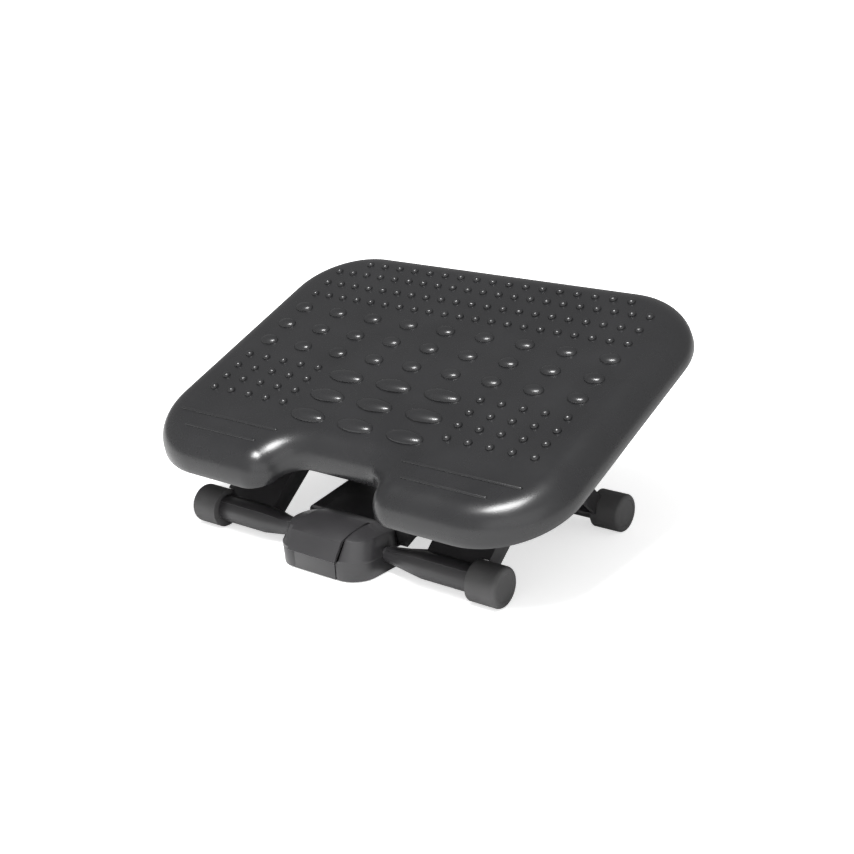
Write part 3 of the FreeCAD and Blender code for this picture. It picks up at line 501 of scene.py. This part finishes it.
def combine(target, others, operation):
    """Applies one boolean operation with each of the others and drops them."""
    for other in others:
        step = target.modifiers.new("combine", "BOOLEAN")
        step.operation = operation
        step.solver = "MANIFOLD"
        step.object = other
        bake_modifiers(target)
        bpy.data.objects.remove(other)
    return target


def underside():
    """The ribs and the two bearing blocks beneath the deck."""
    half_rib = rib_wall / 2
    low = -platform_wall - rib_depth
    half_w = platform_width / 2
    half_d = platform_depth / 2
    flat = [(-half_d, low), (half_d, low), (half_d, rib_top), (-half_d, rib_top)]
    ribs = []
    for x in (boss_inner + half_rib, boss_outer - half_rib, *length_ribs_x):
        for side in (-1, 1):
            ribs.append(side_prism("rib", flat, side * x - half_rib, side * x + half_rib))
    for y in cross_ribs_y:
        strip = [(y - half_rib, low), (y + half_rib, low), (y + half_rib, rib_top), (y - half_rib, rib_top)]
        ribs.append(side_prism("rib", strip, -half_w, half_w))
    body = combine(ribs[0], ribs[1:], "UNION")
    room = closed_form("room", platform_wall - skin_overlap, skin_overlap - platform_wall, -skirt_depth,
                       rim_radius - platform_wall)
    combine(body, [room], "INTERSECT")
    return [body] + [bearing_block(side) for side in (-1, 1)]


def bearing_block(side):
    """One block that carries the axle, with a pocket in each face of its gussets."""
    y = -axle_forward
    z = -axle_below_deck
    top = skin_overlap - platform_wall
    shoulder = z + block_shoulder
    points = [(y - block_root_half, top), (y - block_seat_half, shoulder), (y - block_seat_half, z),
              (y + block_seat_half, z), (y + block_seat_half, shoulder), (y + block_root_half, top)]
    block = side_prism("block", points, *sorted((side * boss_inner, side * boss_outer)))
    depth = (boss_outer - boss_inner - platform_wall) / 2
    corners = ((pocket_root_reach, top - pocket_roof), (pocket_seat_reach, z + pocket_rise),
               (pocket_inner_reach, z + pocket_rise), (pocket_inner_reach, top - pocket_roof))
    cuts = []
    for x0, x1 in ((boss_inner - 1, boss_inner + depth), (boss_outer - depth, boss_outer + 1)):
        for flip in (-1, 1):
            pocket = [(y + flip * reach, height) for reach, height in corners]
            cuts.append(side_prism("pocket", pocket, *sorted((side * x0, side * x1))))
    cuts.append(round_bar("bore", (side * (boss_inner - 1), y, z), (side * (boss_outer + 1), y, z), axle_bore))
    for flip in (-1, 1):
        x = side * (boss_inner + boss_outer) / 2
        hole_y = y + flip * screw_hole_offset
        start = (x, hole_y, z - 1)
        cuts.append(round_bar("hole", start, (x, hole_y, z + screw_hole_depth), screw_hole_radius, 24))
    return combine(block, cuts, "DIFFERENCE")


def platform():
    """The whole deck: skin, bumps, ridges, ribs and bearing blocks in one moulding."""
    piece = new_piece("platform_deck", platform_shell(), deck_finish)
    combine(piece, [new_piece("relief", deck_relief(), deck_finish)] + underside(), "UNION")
    piece.data.transform(level_to_place())
    piece.data.materials.clear()
    piece.data.materials.append(deck_finish)
    smooth_by_angle(piece.data, crisp_edge)
    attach(piece, "platform")
    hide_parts("platform")


# Feet

def foot(node, side):
    """A round rubber foot with a sharp inner rim, a rounded outer edge and a socket for the bar."""
    low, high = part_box(node)
    centre_y = (low[1] + high[1]) / 2
    centre_z = high[2] - foot_radius * MM
    profile = [(foot_inner, stub_radius), (foot_inner, foot_radius - foot_rim_bevel),
               (foot_inner + foot_rim_bevel, foot_radius)]
    steps = 8
    for i in range(steps + 1):
        angle = math.pi / 2 * i / steps
        profile.append((foot_outer - foot_round * (1 - math.sin(angle)),
                        foot_radius - foot_round * (1 - math.cos(angle))))
    profile += [(foot_outer, foot_dish_radius), (foot_outer - foot_dish_depth, foot_dish_floor_radius)]
    work = bmesh.new()
    around = 96
    loops = []
    for x, radius in profile:
        loops.append([work.verts.new((side * x * MM, centre_y + radius * MM * math.sin(2 * math.pi * i / around),
                                      centre_z + radius * MM * math.cos(2 * math.pi * i / around)))
                      for i in range(around)])
    for near, far in zip(loops[:-1], loops[1:]):
        for i in range(around):
            j = (i + 1) % around
            work.faces.new((near[i], near[j], far[j], far[i]))
    work.faces.new(loops[-1])
    socket = [work.verts.new((side * (foot_inner + stub_length) * MM, v.co.y, v.co.z)) for v in loops[0]]
    for i in range(around):
        j = (i + 1) % around
        work.faces.new((loops[0][i], loops[0][j], socket[j], socket[i]))
    work.faces.new(socket)
    for vert in work.verts:
        vert.co.z = max(vert.co.z, low[2])
    bmesh.ops.recalc_face_normals(work, faces=work.faces)
    mesh = bpy.data.meshes.new(node)
    work.to_mesh(mesh)
    work.free()
    piece = new_piece(node + "_round", mesh, rubber_finish)
    smooth_by_angle(piece.data, crisp_edge)
    return piece


def feet():
    """The four feet, two on each frame."""
    for end, body in (("front", "front_frame"), ("rear", "rear_frame")):
        for name, side in (("right", 1), ("left", -1)):
            node = end + "_foot_" + name
            piece = foot(node, side)
            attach(piece, body)
            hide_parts(node)


# Moulded pieces whose edges are rounded: node, body and width of the rounding in millimetres

SOFT_EDGES = (
    ("front_frame", "front_frame", 0.8),
    ("rear_frame", "rear_frame", 0.8),
    ("housing_base", "housing", 0.5),
    ("housing_cover", "housing", 0.8),
    ("lock_cover", "housing", 0.8),
    ("pedal", "pedal", 0.8),
)


def softened(node, body, width):
    """A copy of a node's mesh, its flat faces made whole and its sharp edges rounded."""
    work = bmesh.new()
    work.from_mesh(frame["nodes"][node].data)
    bmesh.ops.remove_doubles(work, verts=work.verts, dist=1e-6)
    bmesh.ops.dissolve_limit(work, angle_limit=math.radians(0.4), verts=work.verts, edges=work.edges)
    mesh = bpy.data.meshes.new(node + "_soft")
    work.to_mesh(mesh)
    work.free()
    piece = new_piece(node + "_soft", mesh, frame_finish)
    round_off = piece.modifiers.new("edges", "BEVEL")
    round_off.width = width * MM
    round_off.segments = 2
    round_off.limit_method = "ANGLE"
    round_off.angle_limit = math.radians(32.0)
    round_off.use_clamp_overlap = True
    bake_modifiers(piece)
    smooth_by_angle(piece.data, crisp_soft_edge)
    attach(piece, body)
    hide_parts(node)


# Finishes of the nodes

def paint(node, finish):
    node.data.materials.clear()
    node.data.materials.append(finish)


def finish_nodes():
    """Every node gets its own finish, and those that aren't named here are frame plastic."""
    finishes = {
        steel_finish: ("axle", "axle_washers", "axle_nuts", "pedal_pin", "lever_pin", "lock_spring",
                       "pivot_cap_screws", "housing_screws", "lock_cover_screws", "arm_eye_screws"),
        rubber_finish: ("front_foot_right", "front_foot_left", "rear_foot_right", "rear_foot_left"),
        nylon_finish: ("front_frame_bushes", "rear_frame_bushes"),
        pad_finish: ("lock_shoe",),
    }
    for finish, names in finishes.items():
        for name in names:
            paint(frame["nodes"][name], finish)
    done = [name for names in finishes.values() for name in names]
    for name, node in frame["nodes"].items():
        if name not in done:
            paint(node, frame_finish)


# Floor, light and camera

def floor():
    """A pale floor that brightens to white away from the object, for camera rays only."""
    mesh = bpy.data.meshes.new("floor")
    reach = 30.0
    corners = [(-reach, -reach, 0.0), (reach, -reach, 0.0), (reach, reach, 0.0), (-reach, reach, 0.0)]
    mesh.from_pydata(corners, [], [(0, 1, 2, 3)])
    material = bpy.data.materials.new("floor_white")
    material.use_nodes = True
    tree = material.node_tree
    surface = tree.nodes["Principled BSDF"]
    surface.inputs["Base Color"].default_value = (0.92, 0.92, 0.92, 1)
    surface.inputs["Roughness"].default_value = 0.9
    glow = tree.nodes.new("ShaderNodeEmission")
    place = tree.nodes.new("ShaderNodeTexCoord")
    distance = tree.nodes.new("ShaderNodeVectorMath")
    distance.operation = "LENGTH"
    level = tree.nodes.new("ShaderNodeMapRange")
    level.inputs["From Min"].default_value = 0.25
    level.inputs["From Max"].default_value = 0.8
    level.inputs["To Min"].default_value = 0.60
    level.inputs["To Max"].default_value = 1.0
    tree.links.new(place.outputs["Object"], distance.inputs[0])
    tree.links.new(distance.outputs["Value"], level.inputs["Value"])
    tree.links.new(level.outputs["Result"], glow.inputs["Strength"])
    rays = tree.nodes.new("ShaderNodeLightPath")
    lit = tree.nodes.new("ShaderNodeAddShader")
    gate = tree.nodes.new("ShaderNodeMixShader")
    tree.links.new(surface.outputs["BSDF"], lit.inputs[0])
    tree.links.new(glow.outputs["Emission"], lit.inputs[1])
    tree.links.new(rays.outputs["Is Camera Ray"], gate.inputs["Fac"])
    tree.links.new(surface.outputs["BSDF"], gate.inputs[1])
    tree.links.new(lit.outputs["Shader"], gate.inputs[2])
    tree.links.new(gate.outputs["Shader"], tree.nodes["Material Output"].inputs["Surface"])
    piece = new_piece("floor", mesh, material)
    piece.location.z = cad_low.z - 0.0002


def lamp(name, place, target, size, watts):
    """A rectangular lamp aimed at a point."""
    light = bpy.data.lights.new(name, "AREA")
    light.shape = "RECTANGLE"
    light.size, light.size_y = size
    light.energy = watts
    thing = bpy.data.objects.new(name, light)
    thing.location = place
    aim = Vector(target) - Vector(place)
    thing.rotation_mode = "QUATERNION"
    thing.rotation_quaternion = aim.to_track_quat("-Z", "Y")
    bpy.context.scene.collection.objects.link(thing)


def lights():
    """A key lamp overhead, a wide lamp in front, and a room that is brighter towards the viewer."""
    centre = Vector((0.0, -0.01, 0.12))
    overhead = Vector((0.07, -0.44, 0.90)).normalized()
    lamp("overhead", centre + overhead * 1.8, centre, (0.7, 0.55), 52.0)
    lamp("front", Vector((2.0, -2.4, 0.9)), centre, (4.0, 2.2), 22.0)
    world = bpy.data.worlds.new("studio")
    world.use_nodes = True
    tree = world.node_tree
    back = tree.nodes["Background"]
    back.inputs["Color"].default_value = (1.0, 1.0, 1.0, 1)
    direction = tree.nodes.new("ShaderNodeTexCoord")
    split = tree.nodes.new("ShaderNodeVectorMath")
    split.operation = "DOT_PRODUCT"
    split.inputs[1].default_value = (0.55, -0.83, 0.0)
    fade = tree.nodes.new("ShaderNodeMapRange")
    fade.inputs["From Min"].default_value = -0.6
    fade.inputs["From Max"].default_value = 0.9
    fade.inputs["To Min"].default_value = 0.30
    fade.inputs["To Max"].default_value = 0.95
    rays = tree.nodes.new("ShaderNodeLightPath")
    level = tree.nodes.new("ShaderNodeMapRange")
    tree.links.new(direction.outputs["Generated"], split.inputs[0])
    tree.links.new(split.outputs["Value"], fade.inputs["Value"])
    tree.links.new(fade.outputs["Result"], level.inputs["To Min"])
    tree.links.new(rays.outputs["Is Camera Ray"], level.inputs["Value"])
    tree.links.new(level.outputs["Result"], back.inputs["Strength"])
    bpy.context.scene.world = world


def camera():
    """The photograph's own view, found from the object's corners and rows."""
    data = bpy.data.cameras.new("camera")
    data.lens = 60.03
    data.sensor_width = 36.0
    thing = bpy.data.objects.new("camera", data)
    right = Vector((0.79835, 0.60196, -0.01699))
    up = Vector((-0.17565, 0.25976, 0.94956))
    ahead = Vector((-0.57601, 0.75510, -0.31312))
    place = Vector((0.76567, -0.99442, 0.50640))
    turn = Matrix((right, up, -ahead)).transposed().to_4x4()
    thing.matrix_world = Matrix.Translation(place) @ turn
    bpy.context.scene.collection.objects.link(thing)
    bpy.context.scene.camera = thing


finish_nodes()
platform()
feet()
for node, body, width in SOFT_EDGES:
    softened(node, body, width)
floor()
lights()
camera()
bpy.context.scene.view_settings.view_transform = "Standard"

bpy.context.view_layer.update()
